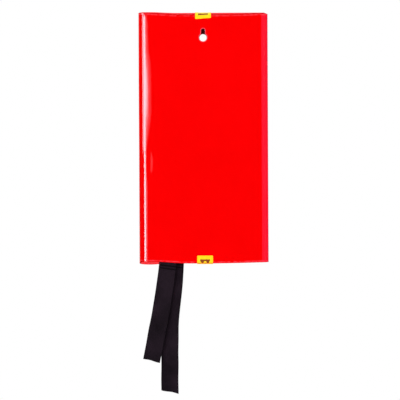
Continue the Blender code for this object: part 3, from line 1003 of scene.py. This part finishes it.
def make_front_label():
    bm = bmesh.new()
    bmesh.ops.create_grid(bm, x_segments=1, y_segments=1, size=0.5)
    bmesh.ops.rotate(bm, cent=(0, 0, 0), matrix=QUARTER_TURN, verts=bm.verts)
    label_width, label_height = label_high.x - label_low.x, label_high.z - label_low.z
    bmesh.ops.scale(bm, vec=(label_width, 1, label_height), verts=bm.verts)
    soften(bm, bm.verts[:], LABEL_CORNER, 8, affect="VERTICES")
    centre = (label_low + label_high) / 2
    move(bm, (centre.x, sleeve_low.y - LABEL_STAND_OFF, centre.z))
    if bm.faces[:][0].normal.y > 0:
        bmesh.ops.reverse_faces(bm, faces=bm.faces[:])
    base = bm.faces[:]
    raised = bmesh.ops.extrude_face_region(bm, geom=base)
    bmesh.ops.delete(bm, geom=base, context="FACES_ONLY")
    moved = [item for item in raised["geom"] if isinstance(item, bmesh.types.BMVert)]
    bmesh.ops.translate(bm, vec=(0, -LABEL_PAPER, 0), verts=moved)
    rims = [e for e in bm.edges if e.is_boundary]
    bmesh.ops.holes_fill(bm, edges=rims)
    recalculate(bm)
    return keep("front_label", bm, label_paper)


front_label = make_front_label()
stand_for(front_label, "case", "front_instruction_label")

# %% [markdown]
# ## The folded blanket
# The blanket is one sheet of white glass cloth, 1.0 m by 1.0 m. It is folded like a fan into eight plies,
# and the long strip that makes is folded up and down in four runs. The sheet here is really folded that
# way: a flat grid is cut closer where it bends, and each of its points is put where the folds take it, so
# every layer and edge that shows at a mouth is part of the same cloth.

# %% Fold the sheet
pack_low, pack_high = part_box("folded_blanket")
SHEET_SIZE = 1.0
PLIES = 8
PLY_PITCH = 0.34 * MM
CLOTH = 0.26 * MM
FOLD_STEPS = 4
BEND_STEPS = 8
RUN_STEPS = 12
CLOTH_WAVE = 0.16 * MM
ply_arc = math.pi * PLY_PITCH / 2
ply_width = (SHEET_SIZE - (PLIES - 1) * ply_arc) / PLIES
run_centres = [-5.22 * MM, -10.30 * MM, -15.20 * MM, -20.10 * MM]
run_spread = [1.0, 1.82, 1.82, 1.82]
straight_top = pack_high.z - 2.9 * MM
straight_bottom = pack_low.z + 2.9 * MM
free_bottom = pack_low.z + 0.5 * MM


def ply_samples(shake):
    """Points across the sheet: how far across it, its place x and its depth in the fan."""
    samples = []
    fold_shifts = [shake.uniform(-0.2, 1.0) * MM for _ in range(PLIES + 1)]
    for ply in range(PLIES):
        heading = 1 if ply % 2 == 0 else -1
        depth_here = (ply - (PLIES - 1) / 2) * PLY_PITCH
        start = ply * (ply_width + ply_arc)
        before, after = fold_shifts[ply], fold_shifts[ply + 1]
        for share in (0.0, 0.04, 0.2, 0.4, 0.6, 0.8, 0.96, 1.0):
            shift = share * after - (1 - share) * before
            x = heading * ((share - 0.5) * ply_width + shift)
            samples.append((start + share * ply_width, x, depth_here))
        if ply == PLIES - 1:
            break
        edge = heading * (ply_width / 2 + after)
        for step in range(1, FOLD_STEPS):
            angle = math.pi * step / FOLD_STEPS
            x = edge + heading * PLY_PITCH / 2 * math.sin(angle)
            turned_depth = depth_here + PLY_PITCH / 2 * (1 - math.cos(angle))
            across = start + ply_width + ply_arc * step / FOLD_STEPS
            samples.append((across, x, turned_depth))
    return samples


def run_samples():
    """Points along the folded strip: how far along, middle, outward side, looseness and run."""
    samples = []
    along = 0.0
    for run, y in enumerate(run_centres):
        upwards = run % 2 == 0
        low = free_bottom if run in (0, len(run_centres) - 1) else straight_bottom
        ends = (low, straight_top) if upwards else (straight_top, low)
        outward = Vector((0, 1, 0)) if upwards else Vector((0, -1, 0))
        run_length = abs(ends[1] - ends[0])
        for step in range(RUN_STEPS + 1):
            share = step / RUN_STEPS
            middle = Vector((0, y, ends[0] + (ends[1] - ends[0]) * share))
            samples.append((along + run_length * share, middle, outward, run_spread[run], run))
        along += run_length
        if run < len(run_centres) - 1:
            next_y = run_centres[run + 1]
            radius = (y - next_y) / 2
            centre = Vector((0, (y + next_y) / 2, ends[1]))
            for step in range(1, BEND_STEPS):
                angle = math.pi * step / BEND_STEPS
                rise = math.sin(angle) * (1 if upwards else -1)
                out = Vector((0, math.cos(angle), rise))
                looser = run_spread[run + 1] - run_spread[run]
                spread = run_spread[run] + looser * step / BEND_STEPS
                side = out if upwards else -out
                samples.append((along + radius * angle, centre + out * radius, side, spread, run))
            along += math.pi * radius
    return samples, along


def fold_blanket(finish):
    shake = random.Random(11)
    columns = ply_samples(shake)
    rows, length = run_samples()
    bm, uv = strip_grid(len(columns) - 1, len(rows) - 1)
    places = {}
    for vert in bm.verts:
        column = round(vert.co.x * (len(columns) - 1))
        row = round(vert.co.y * (len(rows) - 1))
        places[vert] = (columns[column], rows[row])
    for face in bm.faces:
        for loop in face.loops:
            column, row = places[loop.vert]
            loop[uv].uv = (column[0] / SHEET_SIZE, row[0] / length)
    for vert, (column, row) in places.items():
        _, x, depth_here = column
        _, middle, outward, spread, run = row
        point = middle + outward * depth_here * spread
        point.x = x
        ripple_here = noise.noise(Vector((x * 22, point.z * 14, run * 3.1)))
        point.y += CLOTH_WAVE * ripple_here
        vert.co = point
    recalculate(bm)
    print("sheet length along the runs:", round(length, 4))
    return keep("glass_cloth_sheet", bm, finish, smooth_degrees=80)


# %% [markdown]
# ## Woven glass cloth
# Fire blankets are plain or satin weaves of white glass yarn, smooth and slightly shiny, with a sewn hem.
# The weave follows the sheet's own flat pattern, so it turns with every fold. The hem is a doubled edge
# 12 mm wide, with a line of stitches near its inner side.


# %% The glass cloth finish
YARN = 0.9 * MM
HEM_WIDTH = 12 * MM
SEAM_FROM_EDGE, SEAM_HALF = 11 * MM, 0.45 * MM
HEM_STITCH_PITCH = 3.4 * MM


def make_glass_cloth():
    cloth = Finish("glass_cloth")
    across, along, _ = cloth.parts(cloth.cut())
    yarn = math.pi / YARN
    warp = (across * yarn).sine()
    weft = (along * yarn).sine()
    weave = (warp * weft * 0.5 + 0.5) * 0.7 + (abs(warp) + abs(weft)) * 0.15
    slub = cloth.noise(cloth.stretched(cloth.cut(), (40.0, 900.0, 1.0)), 1.0, 3.0, 0.6)
    tone = cloth.noise(cloth.cut(), 9.0, 4.0, 0.6)
    pucker = cloth.noise(cloth.cut(), 34.0, 2.0)
    in_from_edge = (0.5 - abs(across - 0.5)).at_most(0.5 - abs(along - 0.5))
    hem = in_from_edge < HEM_WIDTH
    seam = abs(in_from_edge - SEAM_FROM_EDGE) < SEAM_HALF
    dashes = ((across + along) / HEM_STITCH_PITCH).within_one() < 0.72
    stitches = seam * dashes
    # The lines along the fan folds are painted darker, as painted shade in the creases.
    creases = abs((across * PLIES).within_one() - 0.5).ramp(0.475, 0.5)
    base = cloth.mix(tone, colour(0.47, 0.46, 0.43), colour(0.59, 0.58, 0.55))
    woven = cloth.mix(weave * 0.5 + slub * 0.25, base, colour(0.66, 0.655, 0.63))
    sewn = cloth.mix(stitches, woven, colour(0.74, 0.73, 0.70))
    return cloth.surface(
        Base_Color=cloth.mix(creases * 0.3, sewn, colour(0.36, 0.35, 0.32)),
        Roughness=0.55 + slub * 0.2 - weave * 0.1,
        Normal=cloth.bump(weave + slub * 0.5 + hem * 1.2 + stitches * 1.5 + pucker * 7, 0.09 * MM),
        Sheen_Weight=0.15,
        Sheen_Roughness=0.4,
    )


glass_cloth = make_glass_cloth()
blanket = fold_blanket(glass_cloth)
thickness = blanket.modifiers.new("cloth thickness", "SOLIDIFY")
thickness.thickness = CLOTH
thickness.offset = 0.0
stand_for(blanket, "blanket", "folded_blanket")

# %% [markdown]
# ## The studio
# The object floats in front of white, as a cut-out does, over a plain pale floor. A glossy red panel keeps
# its full red only if it mirrors something dark, so the white is for the camera alone and the light comes
# from soft boxes at the sides. Some are only mirrored: the strips on the left, brightest in the middle,
# draw the streak down the rounded edge. Others only light, and are kept out of every reflection.


# %% Light the studio
AIM = Vector((0, 0, -0.14))
LEVEL = -0.155
WHITE = (1.0, 1.0, 1.0)
LEFT_TINT = (1.0, 0.9, 1.0)
RIGHT_TINT = (1.0, 0.25, 0.9)
LEFT_STEPS = [(36, 57, 11.0), (31, 36, 5.0), (24, 31, 2.2), (15, 24, 0.8)]
LEFT_DISTANCE = 1.6
LEFT_HEIGHT = 0.38


def soft_box(name, bearing, distance, z, size, radiance, tint=WHITE, mirrored=True, lights=True):
    """An area light that faces the object, at a bearing from +Y towards +X."""
    data = bpy.data.lights.new(name, "AREA")
    data.shape = "RECTANGLE"
    data.size, data.size_y = size
    data.energy = radiance * math.pi * size[0] * size[1]
    data.color = tint
    lamp = add_object(name, data)
    angle = math.radians(bearing)
    lamp.location = (math.sin(angle) * distance, math.cos(angle) * distance, z)
    lamp.rotation_mode = "QUATERNION"
    lamp.rotation_quaternion = (AIM - lamp.location).to_track_quat("-Z", "Y")
    lamp.visible_camera = False
    lamp.visible_glossy = mirrored
    lamp.visible_diffuse = lights


def left_strip(name, bearing, distance, z, size, radiance):
    soft_box(name, bearing, distance, z, size, radiance, LEFT_TINT, lights=False)


for first, last, radiance in LEFT_STEPS:
    strip_width = 2 * LEFT_DISTANCE * math.tan(math.radians((last - first) / 2))
    size = (strip_width, LEFT_HEIGHT)
    left_strip(f"left_box_{first}", (first + last) / 2, LEFT_DISTANCE, LEVEL, size, radiance)
left_strip("left_core", 46, 1.55, LEVEL, (0.42, LEFT_HEIGHT), 8.0)
left_strip("left_wing", 66, LEFT_DISTANCE, 0.0, (0.56, 0.26), 9.0)
soft_box("left_rim", 152, 1.8, LEVEL, (0.8, 0.5), 0.9)
soft_box("right_strip", -68.5, 1.8, LEVEL, (2.04, 0.5), 0.75, RIGHT_TINT)
soft_box("right_rim", -124, 1.8, LEVEL, (1.76, 0.5), 0.35, RIGHT_TINT)
soft_box("right_fill", -78, 1.8, LEVEL, (1.4, 1.2), 2.8, mirrored=False)
soft_box("wall_side_fill", 30, 2.2, 0.2, (1.1, 0.9), 8.0, mirrored=False)
soft_box("top_box", 0, 0.25, 1.3, (1.6, 0.7), 5.0)
soft_box("front_left_box", 150, 1.8, 1.1, (1.6, 0.9), 3.4)
soft_box("front_right_box", -140, 1.8, 0.9, (1.6, 0.9), 2.4)

# %% Light the backdrop
MIRRORED_ROOM = 0.008
ROOM_LIGHT = 0.16
world = bpy.data.worlds.new("studio_white")
world.use_nodes = True
bpy.context.scene.world = world
nodes, links = world.node_tree.nodes, world.node_tree.links
nodes.clear()
path = nodes.new("ShaderNodeLightPath")
world_out = nodes.new("ShaderNodeOutputWorld")


def backdrop(brightness):
    node = nodes.new("ShaderNodeBackground")
    node.inputs["Color"].default_value = colour(brightness, brightness, brightness)
    return node.outputs[0]


def seen_by(ray, others, these):
    """One background for this kind of ray and another for the rest."""
    node = nodes.new("ShaderNodeMixShader")
    links.new(path.outputs[ray], node.inputs[0])
    links.new(others, node.inputs[1])
    links.new(these, node.inputs[2])
    return node.outputs[0]


soft_light = seen_by("Is Diffuse Ray", backdrop(MIRRORED_ROOM), backdrop(ROOM_LIGHT))
everything = seen_by("Is Camera Ray", soft_light, backdrop(1.0))
links.new(everything, world_out.inputs["Surface"])

# %% Lay the floor
FLOOR_RADIUS = 3.6
FLOOR_Z = -0.78
FLOOR_GLOW = 0.38


def make_floor_finish():
    floor_finish = Finish("pale_floor")
    grain = floor_finish.noise(floor_finish.place(), 3.0, 3.0)
    return floor_finish.surface(
        Base_Color=floor_finish.mix(grain, colour(0.84, 0.84, 0.84), colour(0.88, 0.88, 0.88)),
        Roughness=0.85,
        Emission_Color=colour(1.0, 1.0, 1.0),
        Emission_Strength=FLOOR_GLOW,
    )


bm = bmesh.new()
bmesh.ops.create_circle(bm, cap_ends=True, segments=96, radius=FLOOR_RADIUS)
move(bm, (0, 0, FLOOR_Z))
floor = keep("floor", bm, make_floor_finish())
floor.visible_glossy = False
bpy.context.scene.view_settings.view_transform = "Standard"
